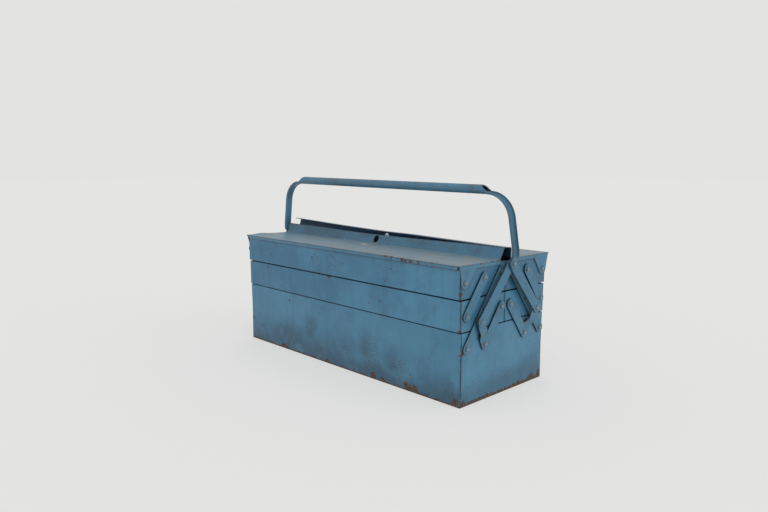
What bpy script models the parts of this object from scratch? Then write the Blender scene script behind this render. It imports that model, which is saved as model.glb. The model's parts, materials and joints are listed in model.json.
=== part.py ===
"""Cantilever toolbox of painted sheet steel, with five compartments.

A base box carries two middle trays and two top trays with hinged lids. Parallel steel arms on
both ends swing the trays outwards, and two closing arms on each end hang from the carrying handle
and pull both halves shut when the box is lifted.

The frame is +X along the box, -Y towards the front, +Z up. The origin is the centre of the base
box's underside. The front half is modelled once and mirrored to the back, and the right-hand end
is mirrored to the left. Lengths are in millimetres until each mesh is made.
"""
import math

import bmesh
import bpy
from mathutils import Matrix, Vector

MM = 0.001

# Driving sizes of the box
LENGTH = 530.0
BASE_HALF_WIDTH = 101.3
MIDDLE_HALF_WIDTH = 103.2
TOP_HALF_WIDTH = 104.8
SHEET = 1.0
BASE_HEIGHT = 108.3
MIDDLE_FLOOR = 109.5
MIDDLE_RIM = 154.6
TOP_FLOOR = 156.4
TOP_RIM = 201.0
HALF_GAP = 1.5
CORNER_RADIUS = 2.5
CORNER_STEPS = 3
HEM_THICKNESS = 2.2
HEM_HEIGHT = 7.5
EDGE_BREAK = 0.8

# Lids
LID_TOP = 204.0
LID_OVERHANG = 6.2
LIP_NOTCH = 5.5
END_FLANGE_HEIGHT = 6.5
END_FLANGE_FACE = 266.5
END_FLANGE_START = 107.5
EAR_RADIUS = 9.0
EAR_INNER_EDGE = 72.0
RIDGE_START = 14.6
RIDGE_HALF_LENGTH = 263.0
PADLOCK_HOLE_RADIUS = 5.8

# Lower edge of the lid's outer lip on the front half, as (Y, Z)
LIP_FOOT = (-107.0, 197.5)

# Outer edge of the lid's end flange between the ear and the top, as (Y, Z)
EAR_CURVE = ((-104.8, 184.5), (-106.9, 194.0))

# Rivet centres of the front half, as (Y, Z)
ARM_BASE = Vector((-90.8, 84.8))
CRANK_BASE = Vector((-49.3, 83.8))
LINK_LOWER = Vector((-91.6, 132.0))
LID_PIVOT = Vector((-95.5, 179.5))
STEP = Vector((38.5, 51.2))
ARM_MIDDLE = ARM_BASE + STEP
ARM_TOP = ARM_MIDDLE + STEP
CRANK_TRAY = CRANK_BASE + STEP
LINK_UPPER = LINK_LOWER + STEP
HANDLE_PIVOT = Vector((0.0, 198.0))
LOBE_REACH = 42.0
LOBE_LEAN = math.radians(25.2)
LOBE_END = CRANK_BASE + LOBE_REACH * Vector((-math.sin(LOBE_LEAN), math.cos(LOBE_LEAN)))

# Flat bars and the layers they lie in, as distances from the middle of the box
BAR_HALF_WIDTH = 8.0
BAR_THICKNESS = 2.0
BAR_LAYER = 265.8
FRONT_LOBE_LAYER = 271.0
BACK_LOBE_LAYER = 273.4
FRONT_CLOSING_LAYER = 273.4
BACK_CLOSING_LAYER = 275.8
EYE_LAYER = 278.4
RAMP_START = 12.0
RAMP_END = 24.0
WEB_REACH = 24.0
ROUND_END_STEPS = 6

# Rivets
RIVET_SIDES = 10
SHANK_RADIUS = 2.5
HOLE_RADIUS = 2.9
HEAD_RADIUS = 4.5
HEAD_HEIGHT = 1.6
TAIL_RADIUS = 4.2
TAIL_HEIGHT = 1.2
CLEARANCE = 0.3

# Carrying handle, one strip of sheet rolled into a tube at the grip
STRIP = 1.4
EYE_RADIUS = 8.0
CHANNEL_START = 12.0
LEAN_START = 20.0
CHANNEL_HALF_WIDTH = 6.1
CHANNEL_CORNER = 2.0
CHANNEL_DEPTH = 4.2
LEG_LEAN = math.radians(8.5)
LEG_LENGTH = 49.0
BEND_RADIUS = 40.0
BEND_STEPS = 8
GRIP_RADIUS = 6.4
GRIP_WRAP = math.radians(170.0)
HALF_WRAP = math.radians(95.0)
GRIP_SHOULDER = 5.0
GRIP_TAPER = 13.0
SECTION_HALF_STEPS = 6

FRONT, BACK = -1, 1
LEFT, RIGHT = -1, 1
SIDE_NAMES = {FRONT: "front", BACK: "back"}
END_NAMES = {LEFT: "left", RIGHT: "right"}

# Raised ridge at each lid's inner edge, as (Y, Z) with Y on the front half; the back lid's ridge
# hooks forward over the front one
RIDGES = {FRONT: ((-12.8, 205.9), (-5.6, 220.5)),
          BACK: ((-13.4, 206.5), (-12.5, 225.0), (3.0, 225.0))}
PADLOCK_HEIGHTS = {FRONT: 211.5, BACK: 214.5}


def clear_scene():
    for item in list(bpy.data.objects):
        bpy.data.objects.remove(item, do_unlink=True)


def paint(name, colour, roughness, metallic=0.0):
    """A Principled material in one colour."""
    material = bpy.data.materials.new(name)
    material.use_nodes = True
    shader = material.node_tree.nodes["Principled BSDF"]
    shader.inputs["Base Color"].default_value = (*colour, 1.0)
    shader.inputs["Roughness"].default_value = roughness
    shader.inputs["Metallic"].default_value = metallic
    return material


def pivot(name, point, parent=None):
    """An empty on a joint's axis; the pieces of one moving body hang from it."""
    empty = bpy.data.objects.new(name, None)
    empty.empty_display_size = 0.02
    bpy.context.collection.objects.link(empty)
    empty["rest_point"] = [float(value) for value in point]
    origin = Vector(point)
    if parent is not None:
        empty.parent = parent
        origin = origin - Vector(parent["rest_point"])
    empty.location = origin * MM
    return empty


def mirrored(shape, end=RIGHT, side=FRONT):
    """Mirror a shape made for the right end and the front half to another end or side."""
    flip = Matrix.Diagonal((end, -side, 1.0, 1.0))
    bmesh.ops.transform(shape, matrix=flip, verts=shape.verts)
    return shape


def make_object(name, shape, origin, parent, material=None, smooth=False):
    """Turn a shape in world millimetres into an object with its own origin under a pivot."""
    bmesh.ops.transform(shape, matrix=Matrix.Translation(-Vector(origin)), verts=shape.verts)
    bmesh.ops.scale(shape, vec=(MM, MM, MM), verts=shape.verts)
    bmesh.ops.recalc_face_normals(shape, faces=shape.faces)
    mesh = bpy.data.meshes.new(name)
    shape.to_mesh(mesh)
    shape.free()
    if material is not None:
        mesh.materials.append(material)
    if smooth:
        mesh.shade_smooth()
        mesh.set_sharp_from_angle(angle=math.radians(35.0))
    piece = bpy.data.objects.new(name, mesh)
    bpy.context.collection.objects.link(piece)
    offset = Vector(origin)
    if parent is not None:
        piece.parent = parent
        offset = offset - Vector(parent["rest_point"])
    piece.location = offset * MM
    return piece


def cut(piece, shape, parent, operation="DIFFERENCE"):
    """Cut a piece with a shape, or join the shape to it, through a Boolean modifier."""
    tool = make_object(piece.name + "_" + operation.lower(), shape, parent["rest_point"], parent)
    tool.hide_render = True
    tool.display_type = "WIRE"
    modifier = piece.modifiers.new(operation.title(), "BOOLEAN")
    modifier.operation = operation
    modifier.solver = "EXACT"
    modifier.object = tool


def rounded_ring(half_x, y_low, y_high, inset, z):
    """Corner-rounded rectangle, inset from the outer wall, as a list of points."""
    radius = max(CORNER_RADIUS - inset, 0.2)
    x_edge = half_x - inset - radius
    y_edges = (y_low + inset + radius, y_high - inset - radius)
    corners = ((x_edge, y_edges[1], 0), (-x_edge, y_edges[1], 1),
               (-x_edge, y_edges[0], 2), (x_edge, y_edges[0], 3))
    points = []
    for x, y, quarter in corners:
        for step in range(CORNER_STEPS + 1):
            angle = (quarter + step / CORNER_STEPS) * math.pi / 2
            points.append((x + radius * math.cos(angle), y + radius * math.sin(angle), z))
    return points


def loft(rings):
    """Closed solid through rings of equally many points, capped at both ends."""
    shape = bmesh.new()
    rows = [[shape.verts.new(point) for point in ring] for ring in rings]
    shape.faces.new(reversed(rows[0]))
    shape.faces.new(rows[-1])
    count = len(rows[0])
    for lower, upper in zip(rows, rows[1:]):
        for i in range(count):
            j = (i + 1) % count
            shape.faces.new((lower[i], lower[j], upper[j], upper[i]))
    return shape


def pan(y_low, y_high, floor, rim):
    """Open-topped sheet pan with rounded corners and a hem folded inwards along its rim."""
    levels = ((EDGE_BREAK, floor), (0.0, floor + EDGE_BREAK), (0.0, rim), (HEM_THICKNESS, rim),
              (HEM_THICKNESS, rim - HEM_HEIGHT), (SHEET, rim - HEM_HEIGHT),
              (SHEET, floor + SHEET))
    return loft([rounded_ring(LENGTH / 2, y_low, y_high, inset, z) for inset, z in levels])


def prism(outline, x_low, x_high):
    """Plate whose outline is given in Y and Z, counter-clockwise, extruded along X."""
    return loft([[(x, point[0], point[1]) for point in outline] for x in (x_low, x_high)])


def rod(centre, radius, x_low, x_high, sides=RIVET_SIDES):
    """Round prism along X, for rivet holes."""
    turn = 2 * math.pi / sides
    outline = [(centre[0] + radius * math.cos(turn * i), centre[1] + radius * math.sin(turn * i))
               for i in range(sides)]
    return prism(outline, x_low, x_high)


def joined(shapes):
    """Put several separate shapes into one."""
    whole = bmesh.new()
    for shape in shapes:
        mesh = bpy.data.meshes.new("part_of_shape")
        shape.to_mesh(mesh)
        shape.free()
        whole.from_mesh(mesh)
        bpy.data.meshes.remove(mesh)
    return whole


def wall_holes(centres):
    """Cutters for the rivet holes in both end walls."""
    reach = LENGTH / 2 + 2.0
    inside = LENGTH / 2 - 3.0
    rods = []
    for centre in centres:
        rods.append(rod(centre, HOLE_RADIUS, inside, reach))
        rods.append(rod(centre, HOLE_RADIUS, -reach, -inside))
    return joined(rods)


def bar_outline(start, finish):
    """Outline of a flat bar with round ends between two rivet centres, in Y and Z."""
    heading = math.atan2(finish[1] - start[1], finish[0] - start[0])
    outline = []
    for centre, first in ((start, heading + math.pi / 2), (finish, heading - math.pi / 2)):
        for step in range(ROUND_END_STEPS + 1):
            angle = first + math.pi * step / ROUND_END_STEPS
            outline.append((centre[0] + BAR_HALF_WIDTH * math.cos(angle),
                            centre[1] + BAR_HALF_WIDTH * math.sin(angle)))
    return outline


def flat_bar(name, ends, holes, layer, end, side, parent, material):
    """Straight bar with rivet holes, in one layer, with its origin at its first end."""
    shape = mirrored(prism(bar_outline(*ends), layer, layer + BAR_THICKNESS), end, side)
    origin = (end * layer, -side * ends[0][0], ends[0][1])
    piece = make_object(name, shape, origin, parent, material)
    rods = [rod(centre, HOLE_RADIUS, layer - 1.0, layer + BAR_THICKNESS + 1.0)
            for centre in holes]
    cut(piece, mirrored(joined(rods), end, side), parent)
    return piece


def revolve(profile, centre, sides=RIVET_SIDES):
    """Closed solid of revolution about an axis along X from (x, radius) pairs, tail to head."""
    rings = []
    turn = 2 * math.pi / sides
    for x, radius in profile:
        rings.append([(x, centre[0] + radius * math.cos(turn * i),
                       centre[1] + radius * math.sin(turn * i)) for i in range(sides)])
    return loft(rings)


def head_profile(seat):
    """Domed rivet head that starts at the given distance along X."""
    return [(seat, HEAD_RADIUS), (seat + 0.5 * HEAD_HEIGHT, 0.87 * HEAD_RADIUS),
            (seat + HEAD_HEIGHT, 0.4 * HEAD_RADIUS)]


def rivet(name, centre, inner_face, outer_face, end, side, parent, material):
    """Rivet whose tail is inside the inner face and whose head is outside the outer face."""
    tail = inner_face - CLEARANCE
    seat = outer_face + CLEARANCE
    profile = [(tail - TAIL_HEIGHT, TAIL_RADIUS), (tail, TAIL_RADIUS), (tail, SHANK_RADIUS),
               (seat, SHANK_RADIUS)] + head_profile(seat)
    shape = mirrored(revolve(profile, centre), end, side)
    origin = (end * outer_face, -side * centre[0], centre[1])
    return make_object(name, shape, origin, parent, material, smooth=True)


def crank_plate(name, lobe_layer, end, side, parent, material):
    """Y-shaped plate: a flat bar to the tray, a web, and a lobe bent outwards to its own layer."""
    bar = prism(bar_outline(CRANK_BASE, CRANK_TRAY), BAR_LAYER, BAR_LAYER + BAR_THICKNESS)
    origin = (end * BAR_LAYER, -side * CRANK_BASE[0], CRANK_BASE[1])
    piece = make_object(name, mirrored(bar, end, side), origin, parent, material)
    cut(piece, mirrored(crank_web(), end, side), parent, "UNION")
    cut(piece, mirrored(crank_lobe(lobe_layer), end, side), parent, "UNION")
    cut(piece, mirrored(crank_end(lobe_layer), end, side), parent, "UNION")
    rods = [rod(centre, HOLE_RADIUS, BAR_LAYER - 1.0, BAR_LAYER + BAR_THICKNESS + 1.0)
            for centre in (CRANK_BASE, CRANK_TRAY)]
    cut(piece, mirrored(joined(rods), end, side), parent)
    return piece


def crank_web():
    """Flat web that fills the fork of the crank plate up to a rounded notch."""
    bar_angle = math.atan2(STEP[1], STEP[0])
    lobe_angle = math.pi / 2 + LOBE_LEAN
    middle = (bar_angle + lobe_angle) / 2
    outline = [tuple(CRANK_BASE)]
    span = (lobe_angle - bar_angle) / 2
    for step in range(5):
        angle = bar_angle + 2 * span * step / 4
        notch = 1.0 - 0.3 * math.cos((angle - middle) / span * math.pi / 2)
        reach = WEB_REACH * notch
        outline.append((CRANK_BASE[0] + reach * math.cos(angle),
                        CRANK_BASE[1] + reach * math.sin(angle)))
    return prism(outline, BAR_LAYER + 0.05, BAR_LAYER + BAR_THICKNESS - 0.05)


def crank_lobe(lobe_layer):
    """Lobe of the crank plate: a ramp out to its own layer, and a flat stretch with a round end."""
    along = Vector((-math.sin(LOBE_LEAN), math.cos(LOBE_LEAN)))
    across = Vector((along[1], -along[0]))
    rise = lobe_layer - BAR_LAYER
    half = BAR_HALF_WIDTH - 0.1
    rings = []
    for reach, lift in ((0.0, 0.1), (RAMP_START, 0.1), (RAMP_END, rise), (LOBE_REACH, rise)):
        ring = []
        for sign, depth in ((-1, 0.0), (1, 0.0), (1, BAR_THICKNESS), (-1, BAR_THICKNESS)):
            point = CRANK_BASE + reach * along + sign * half * across
            ring.append((BAR_LAYER + lift + 0.9 * depth, point[0], point[1]))
        rings.append(ring)
    return loft(rings)


def crank_end(lobe_layer):
    """Round end of the lobe with the closed tail of its rivet on the inner side."""
    profile = ((lobe_layer - 0.7, TAIL_RADIUS), (lobe_layer + 0.1, TAIL_RADIUS),
               (lobe_layer + 0.1, BAR_HALF_WIDTH), (lobe_layer + BAR_THICKNESS, BAR_HALF_WIDTH))
    return revolve(profile, LOBE_END, 2 * ROUND_END_STEPS)


def closing_arm(name, layer, end, side, parent, material):
    """Flat arm from the handle's pivot down to the crank, with its riveted stub end."""
    piece = flat_bar(name, (HANDLE_PIVOT, LOBE_END), [HANDLE_PIVOT], layer, end, side, parent,
                     material)
    face = layer + BAR_THICKNESS
    stub = revolve([(layer + 0.5, HEAD_RADIUS)] + head_profile(face), LOBE_END)
    cut(piece, mirrored(stub, end, side), parent, "UNION")
    return piece


def lid(side, parent, material):
    """Lid of one folded sheet: top, slanted outer lip, end flanges with ears, and a ridge."""
    outer = -TOP_HALF_WIDTH - LID_OVERHANG
    shape = bmesh.new()
    ridge = RIDGES[side]

    def row(x, profile):
        return [shape.verts.new((x, y, z)) for y, z in profile]

    top = ((outer, LID_TOP), (-END_FLANGE_START, LID_TOP), (-RIDGE_START, LID_TOP))
    rows = [row(x, top) for x in (-END_FLANGE_FACE, -RIDGE_HALF_LENGTH, RIDGE_HALF_LENGTH,
                                  END_FLANGE_FACE)]
    for left, right in zip(rows, rows[1:]):
        for low, high in ((0, 1), (1, 2)):
            shape.faces.new((left[low], right[low], right[high], left[high]))
    foot = END_FLANGE_FACE - LIP_NOTCH
    lip = [shape.verts.new((x, LIP_FOOT[0], LIP_FOOT[1])) for x in (foot, -foot)]
    shape.faces.new([line[0] for line in rows] + lip)
    edges = [row(x, ridge) for x in (-RIDGE_HALF_LENGTH, RIDGE_HALF_LENGTH)]
    edges = [[rows[1][2]] + edges[0], [rows[2][2]] + edges[1]]
    for low in range(len(ridge)):
        shape.faces.new((edges[0][low], edges[1][low], edges[1][low + 1], edges[0][low + 1]))
    for end_row, x in ((rows[0], -END_FLANGE_FACE), (rows[3], END_FLANGE_FACE)):
        shape.faces.new([end_row[1], end_row[2]] + row(x, ear_outline()))
    bmesh.ops.recalc_face_normals(shape, faces=shape.faces)
    name = SIDE_NAMES[side] + "_lid"
    hinge = (0.0, LID_PIVOT[0], LID_PIVOT[1])
    piece = make_sheet(name, mirrored(shape, RIGHT, side), side, hinge, parent, material)
    reach = END_FLANGE_FACE + 1.0
    rods = [rod(LID_PIVOT, HOLE_RADIUS, reach - 3.0, reach),
            rod(LID_PIVOT, HOLE_RADIUS, -reach, -reach + 3.0)]
    cut(piece, mirrored(joined(rods), RIGHT, side), parent)
    hole = rod_along_y(PADLOCK_HEIGHTS[side], PADLOCK_HOLE_RADIUS)
    cut(piece, mirrored(hole, RIGHT, side), parent)
    return piece


def ear_outline():
    """Lower edge of a lid's end flange, from the ridge to the outer side of the hinge ear."""
    level = LID_TOP - END_FLANGE_HEIGHT
    outline = [(-RIDGE_START, level), (-EAR_INNER_EDGE, level)]
    for step in range(6):
        angle = math.radians(-40.0 - 140.0 * step / 5)
        outline.append((LID_PIVOT[0] + EAR_RADIUS * math.cos(angle),
                        LID_PIVOT[1] + EAR_RADIUS * math.sin(angle)))
    outline += EAR_CURVE
    return outline


def make_sheet(name, shape, side, origin, parent, material):
    """Thin surface given a sheet's thickness inwards by a Solidify modifier."""
    point = (origin[0], -side * origin[1], origin[2])
    piece = make_object(name, shape, point, parent, material)
    top = max(piece.data.polygons, key=lambda face: face.area)
    if top.normal.z < 0.0:
        piece.data.flip_normals()
    modifier = piece.modifiers.new("Sheet", "SOLIDIFY")
    modifier.solidify_mode = "NON_MANIFOLD"
    modifier.nonmanifold_thickness_mode = "CONSTRAINTS"
    modifier.nonmanifold_merge_threshold = 0.00001
    modifier.thickness = SHEET * MM
    modifier.offset = -1.0
    return piece


def rod_along_y(height, radius):
    """Round cutter along Y through a ridge at the middle of the box."""
    turn = math.pi / 8
    rings = []
    for y in (-RIDGE_START - 6.0, -RIDGE_START + 14.0):
        rings.append([(radius * math.cos(turn * i), y, height + radius * math.sin(turn * i))
                      for i in range(16)])
    return loft(rings)


def handle_section(width, curl):
    """Middle line of the handle's strip across its width, as (Y, outward) points.

    A curl of 0 is a flat strip, 1 is the shallow channel of the legs, 2 is half of a tube, and 3
    is the rolled grip.
    """
    points = []
    wrap = HALF_WRAP + (GRIP_WRAP - HALF_WRAP) * max(curl - 2.0, 0.0)
    for step in range(-SECTION_HALF_STEPS, SECTION_HALF_STEPS + 1):
        t = step / SECTION_HALF_STEPS
        flat = Vector((width * t, 0.0))
        channel = channel_point(t)
        tube = Vector((GRIP_RADIUS * math.sin(wrap * t), GRIP_RADIUS * (1.0 - math.cos(wrap * t))))
        if curl <= 1.0:
            points.append(flat.lerp(channel, curl))
        else:
            points.append(channel.lerp(tube, min(curl - 1.0, 1.0)))
    return points


def channel_point(t):
    """Point of the channel section's middle line, from -1 at one edge to 1 at the other."""
    web = CHANNEL_HALF_WIDTH - CHANNEL_CORNER
    bend = CHANNEL_CORNER * math.pi / 2
    distance = abs(t) * (web + bend + CHANNEL_DEPTH - CHANNEL_CORNER)
    if distance < web:
        y, rise = distance, 0.0
    elif distance < web + bend:
        angle = (distance - web) / CHANNEL_CORNER
        y = web + CHANNEL_CORNER * math.sin(angle)
        rise = CHANNEL_CORNER * (1.0 - math.cos(angle))
    else:
        y = CHANNEL_HALF_WIDTH
        rise = CHANNEL_CORNER + distance - web - bend
    return Vector((math.copysign(y, t), rise))


def handle_stations():
    """Stations of the handle's right half, eye to mid-grip: (X, Z), lean, half width, curl."""
    x = EYE_LAYER + STRIP / 2
    stations = []
    for angle in (-67.5, -45.0, -22.5, 0.0, 22.5, 45.0):
        rise = EYE_RADIUS * math.sin(math.radians(angle))
        stations.append((x, HANDLE_PIVOT[1] + rise, 0.0,
                         EYE_RADIUS * math.cos(math.radians(angle)), 0.0))
    stations.append((x, HANDLE_PIVOT[1] + CHANNEL_START, 0.0, CHANNEL_HALF_WIDTH, 1.0))
    z = HANDLE_PIVOT[1] + LEAN_START
    stations.append((x, z, LEG_LEAN / 2, CHANNEL_HALF_WIDTH, 1.0))
    x -= LEG_LENGTH * math.sin(LEG_LEAN)
    z += LEG_LENGTH * math.cos(LEG_LEAN)
    stations.append((x, z, LEG_LEAN, CHANNEL_HALF_WIDTH, 1.0))
    centre = (x - BEND_RADIUS * math.cos(LEG_LEAN), z - BEND_RADIUS * math.sin(LEG_LEAN))
    for step in range(1, BEND_STEPS + 1):
        lean = LEG_LEAN + (math.pi / 2 - LEG_LEAN) * step / BEND_STEPS
        stations.append((centre[0] + BEND_RADIUS * math.cos(lean),
                         centre[1] + BEND_RADIUS * math.sin(lean), lean,
                         CHANNEL_HALF_WIDTH, 1.0))
    x, z = centre[0], centre[1] + BEND_RADIUS
    stations.append((x - GRIP_SHOULDER, z, math.pi / 2, CHANNEL_HALF_WIDTH, 2.0))
    stations.append((x - GRIP_TAPER, z, math.pi / 2, CHANNEL_HALF_WIDTH, 3.0))
    return stations


def handle_ring(station, end):
    """Closed outline of the strip at one station, on the right or the left half."""
    x, z, lean, width, curl = station
    middle = handle_section(width, curl)
    outward = Vector((math.cos(lean), math.sin(lean)))
    skins = []
    for sign in (1, -1):
        skin = []
        for i, point in enumerate(middle):
            before = middle[max(i - 1, 0)]
            after = middle[min(i + 1, len(middle) - 1)]
            along = (after - before).normalized()
            normal = Vector((-along[1], along[0]))
            y, rise = point + sign * STRIP / 2 * normal
            skin.append((end * (x + rise * outward[0]), y, z + rise * outward[1]))
        skins.append(skin)
    return skins[0] + skins[1][::-1]


def carry_handle(parent, material):
    """Carrying handle: two eyes, channel-shaped legs and a grip rolled into a split tube."""
    half = handle_stations()
    rings = [handle_ring(station, RIGHT) for station in half]
    rings += [handle_ring(station, LEFT) for station in reversed(half)]
    origin = (0.0, HANDLE_PIVOT[0], HANDLE_PIVOT[1])
    piece = make_object("carry_handle", loft(rings), origin, parent, material, smooth=True)
    rods = [mirrored(rod(HANDLE_PIVOT, HOLE_RADIUS, EYE_LAYER - 1.0, EYE_LAYER + 3.0), end)
            for end in (RIGHT, LEFT)]
    cut(piece, joined(rods), parent)
    return piece


def build_half(side, base, hub, materials):
    """Arms, cranks, trays, lid and links of the front or the back half, in moving bodies."""
    name = SIDE_NAMES[side]

    def joint(label, centre, parent):
        return pivot(name + label, (0.0, -side * centre[0], centre[1]), parent)

    arms = joint("_arms_axis", ARM_BASE, base)
    cranks = joint("_cranks_axis", CRANK_BASE, base)
    middle = joint("_middle_tray_axis", ARM_MIDDLE, arms)
    links = joint("_tray_links_axis", LINK_LOWER, middle)
    top = joint("_top_tray_axis", ARM_TOP, arms)
    lid_axis = joint("_lid_axis", LID_PIVOT, top)
    closing = joint("_closing_arms_axis", HANDLE_PIVOT, hub)

    tray(name + "_middle_tray", MIDDLE_HALF_WIDTH, MIDDLE_FLOOR, MIDDLE_RIM,
         (ARM_MIDDLE, CRANK_TRAY, LINK_LOWER), side, middle, materials["body"])
    tray(name + "_top_tray", TOP_HALF_WIDTH, TOP_FLOOR, TOP_RIM,
         (ARM_TOP, LINK_UPPER, LID_PIVOT), side, top, materials["body"])
    lid(side, lid_axis, materials["lid"])

    wall = LENGTH / 2 - SHEET
    bar_face = BAR_LAYER + BAR_THICKNESS
    lobe_layer = FRONT_LOBE_LAYER if side == FRONT else BACK_LOBE_LAYER
    closing_layer = FRONT_CLOSING_LAYER if side == FRONT else BACK_CLOSING_LAYER
    for end in (LEFT, RIGHT):
        piece = name + "_" + END_NAMES[end]
        flat_bar(piece + "_long_arm", (ARM_BASE, ARM_TOP), (ARM_BASE, ARM_MIDDLE, ARM_TOP),
                 BAR_LAYER, end, side, arms, materials["linkage"])
        flat_bar(piece + "_tray_link", (LINK_LOWER, LINK_UPPER), (LINK_LOWER, LINK_UPPER),
                 BAR_LAYER, end, side, links, materials["linkage"])
        crank_plate(piece + "_crank_plate", lobe_layer, end, side, cranks, materials["linkage"])
        closing_arm(piece + "_closing_arm", closing_layer, end, side, closing,
                    materials["linkage"])
        fasteners = (("_arm_base_rivet", ARM_BASE, bar_face, base),
                     ("_crank_base_rivet", CRANK_BASE, bar_face, base),
                     ("_arm_middle_rivet", ARM_MIDDLE, bar_face, middle),
                     ("_crank_tray_rivet", CRANK_TRAY, bar_face, middle),
                     ("_link_lower_rivet", LINK_LOWER, bar_face, middle),
                     ("_arm_top_rivet", ARM_TOP, bar_face, top),
                     ("_link_upper_rivet", LINK_UPPER, bar_face, top),
                     ("_lid_rivet", LID_PIVOT, END_FLANGE_FACE, top))
        for label, centre, face, parent in fasteners:
            rivet(piece + label, centre, wall, face, end, side, parent, materials["rivet"])


def tray(name, half_width, floor, rim, holes, side, parent, material):
    """Open sheet pan on one half of the box, with rivet holes in its end walls."""
    shape = mirrored(pan(-half_width, -HALF_GAP / 2, floor, rim), RIGHT, side)
    piece = make_object(name, shape, parent["rest_point"], parent, material)
    cut(piece, mirrored(wall_holes(holes), RIGHT, side), parent)


def build():
    clear_scene()
    materials = {
        "body": paint("body_paint", (0.075, 0.19, 0.30), 0.42),
        "lid": paint("lid_paint", (0.10, 0.21, 0.30), 0.38),
        "linkage": paint("linkage_paint", (0.085, 0.20, 0.30), 0.42),
        "handle": paint("handle_paint", (0.07, 0.18, 0.28), 0.40),
        "rivet": paint("worn_steel", (0.33, 0.36, 0.38), 0.38, 0.8),
    }
    base = pivot("base_axis", (0.0, 0.0, 0.0))
    hub = pivot("handle_pivot_axis", (0.0, HANDLE_PIVOT[0], HANDLE_PIVOT[1]), base)
    handle_axis = pivot("carry_handle_axis", (0.0, HANDLE_PIVOT[0], HANDLE_PIVOT[1]), hub)

    body = pan(-BASE_HALF_WIDTH, BASE_HALF_WIDTH, 0.0, BASE_HEIGHT)
    box = make_object("base_box", body, (0.0, 0.0, 0.0), base, materials["body"])
    centres = [Vector((-side * centre[0], centre[1])) for centre in (ARM_BASE, CRANK_BASE)
               for side in (FRONT, BACK)]
    cut(box, wall_holes(centres), base)

    for side in (FRONT, BACK):
        build_half(side, base, hub, materials)
    carry_handle(handle_axis, materials["handle"])
    for end in (LEFT, RIGHT):
        rivet(END_NAMES[end] + "_handle_rivet", HANDLE_PIVOT, FRONT_CLOSING_LAYER,
              EYE_LAYER + STRIP, end, FRONT, hub, materials["rivet"])


build()
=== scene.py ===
"""Looks of the cantilever toolbox: worn blue paint, folded sheet, rivets and the racked lids.

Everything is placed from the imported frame, in metres, with +X along the box, -Y towards the front
and +Z up. Pieces keep their object origin at the frame's origin, so that a material's Object
coordinates are frame coordinates, and the wear stays on the piece when its body moves.
"""
import json
import math

import bmesh
import bpy
from mathutils import Matrix, Vector, noise

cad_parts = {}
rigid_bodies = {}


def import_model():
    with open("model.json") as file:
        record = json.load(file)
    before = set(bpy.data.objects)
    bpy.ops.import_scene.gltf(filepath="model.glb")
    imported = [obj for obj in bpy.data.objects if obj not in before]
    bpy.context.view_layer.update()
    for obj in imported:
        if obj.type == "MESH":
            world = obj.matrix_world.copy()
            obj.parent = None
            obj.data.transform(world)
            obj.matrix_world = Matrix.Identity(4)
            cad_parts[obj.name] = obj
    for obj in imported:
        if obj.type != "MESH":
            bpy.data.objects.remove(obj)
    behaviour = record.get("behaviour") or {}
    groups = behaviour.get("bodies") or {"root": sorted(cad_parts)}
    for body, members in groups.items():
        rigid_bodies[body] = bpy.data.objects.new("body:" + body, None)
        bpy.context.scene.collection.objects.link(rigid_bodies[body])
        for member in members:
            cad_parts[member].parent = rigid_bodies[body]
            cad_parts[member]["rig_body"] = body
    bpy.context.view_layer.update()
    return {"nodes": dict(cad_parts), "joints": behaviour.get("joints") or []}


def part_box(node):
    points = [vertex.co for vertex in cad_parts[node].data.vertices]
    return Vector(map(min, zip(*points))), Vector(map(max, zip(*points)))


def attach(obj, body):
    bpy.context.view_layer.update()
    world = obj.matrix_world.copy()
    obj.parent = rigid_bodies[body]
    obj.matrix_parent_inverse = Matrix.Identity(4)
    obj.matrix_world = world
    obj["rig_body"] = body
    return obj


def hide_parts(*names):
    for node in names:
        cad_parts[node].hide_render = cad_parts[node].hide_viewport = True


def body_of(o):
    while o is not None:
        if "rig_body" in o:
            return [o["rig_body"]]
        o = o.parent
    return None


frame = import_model()

MM = 0.001
FRONT, BACK = -1, 1
LEFT, RIGHT = -1, 1
SIDES = {"front": FRONT, "back": BACK}
ENDS = {"left": LEFT, "right": RIGHT}
JOINTS = {joint["name"]: joint for joint in frame["joints"]}


def add_object(name, data):
    """New object in the scene."""
    made = bpy.data.objects.new(name, data)
    bpy.context.scene.collection.objects.link(made)
    return made


def mesh_of(name, shape):
    """Mesh made from a shape, which is used up."""
    mesh = bpy.data.meshes.new(name)
    shape.to_mesh(mesh)
    shape.free()
    return mesh


def joint_point(name):
    """A hinge's position in the frame."""
    return Vector(JOINTS[name]["pos_m"])


# ------------------------ camera, floor and light

CAMERA_PLACE = (0.8269, -0.7912, 0.3467)
CAMERA_YAW = math.radians(-46.09)
CAMERA_PITCH = math.radians(8.26)
CAMERA_LENS = 30.64
CAMERA_SENSOR = 36.0
SURROUND = (0.768, 0.770, 0.758)
FLOOR_PAPER = 0.30
FLOOR_GLOW = 0.66


def add_camera():
    """Camera given by its heading from +Y and its downward pitch."""
    heading = Vector((math.sin(CAMERA_YAW), math.cos(CAMERA_YAW), 0.0))
    ahead = heading * math.cos(CAMERA_PITCH) - Vector((0.0, 0.0, math.sin(CAMERA_PITCH)))
    level = Vector((math.cos(CAMERA_YAW), -math.sin(CAMERA_YAW), 0.0))
    turn = Matrix((level, level.cross(ahead), -ahead)).transposed().to_4x4()
    data = bpy.data.cameras.new("camera")
    data.lens = CAMERA_LENS
    data.sensor_width = CAMERA_SENSOR
    camera = add_object("camera", data)
    camera.matrix_world = Matrix.Translation(CAMERA_PLACE) @ turn
    bpy.context.scene.camera = camera


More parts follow.
